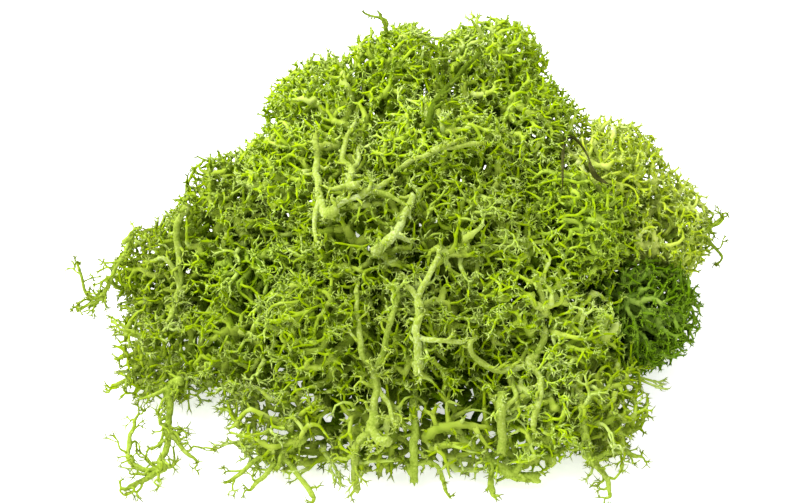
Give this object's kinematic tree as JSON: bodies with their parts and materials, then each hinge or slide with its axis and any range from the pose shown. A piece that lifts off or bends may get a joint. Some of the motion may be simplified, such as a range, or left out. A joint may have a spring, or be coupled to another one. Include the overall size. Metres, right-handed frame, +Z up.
{
  "type": "moss clump",
  "caption": "Springy, hand-sized mound of green reindeer lichen with forked stems and fine branchlets, for filling, lining and decorating.",
  "frame": {"origin": "on the surface it rests on, under the middle of the clump's box", "axes": "+Z up, +X along the longest side, towards the clump's right, -Y to the front"},
  "size_m": [0.1168, 0.087, 0.0533],
  "materials": {
    "branchlets": "matte",
    "stems": "matte",
    "dark_stems": "matte",
    "dry_grass": "matte"
  },
  "bodies": {
    "root": {"back_crown_far_left": "branchlets", "back_crown_far_right": "branchlets", "back_crown_left": "branchlets", "back_crown_right": "branchlets", "back_tuft_stem": "stems", "centre_crown_left": "branchlets", "centre_crown_low_left": "branchlets", "centre_crown_low_right": "branchlets", "centre_crown_right": "branchlets", "centre_crown_under": "branchlets", "centre_forked_stem": "stems", "centre_tuft_stem": "stems", "centre_upright_stem": "stems", "crossing_stem": "stems", "dark_stem": "dark_stems", "far_left_sprig": "stems", "forked_stem": "stems", "front_crown_left": "branchlets", "front_crown_middle": "branchlets", "front_crown_right": "branchlets", "front_cut_stem": "stems", "front_left_sprig": "stems", "front_right_crown_inner": "branchlets", "front_right_crown_outer": "branchlets", "front_right_sprig": "stems", "front_right_tuft_stem": "stems", "front_tuft_stem": "stems", "front_upright_stem": "stems", "front_webbed_stem": "stems", "grass_strand": "dry_grass", "left_crown_high": "branchlets", "left_crown_hollow": "branchlets", "left_crown_outer": "branchlets", "left_tuft_stem": "stems", "left_upright_stem": "stems", "low_left_crown_inner": "branchlets", "low_left_crown_outer": "branchlets", "low_left_sprig": "stems", "low_left_tuft_stem": "stems", "middle_right_crown_high": "branchlets", "middle_right_crown_low": "branchlets", "middle_right_tuft_stem": "stems", "ridge_stem": "stems", "right_crown_high": "branchlets", "right_crown_inner": "branchlets", "right_crown_low": "branchlets", "right_crown_outer": "branchlets", "right_sprig": "stems", "right_tuft_stem": "stems", "shoulder_stem": "stems", "slanting_stem": "stems", "top_crown_front": "branchlets", "top_crown_left": "branchlets", "top_crown_middle": "branchlets", "top_crown_right": "branchlets", "top_crown_shoulder": "branchlets", "top_crown_side": "branchlets", "top_sprig": "stems", "top_tuft_stem": "stems", "torn_stem": "stems"}
  },
  "joints": []
}
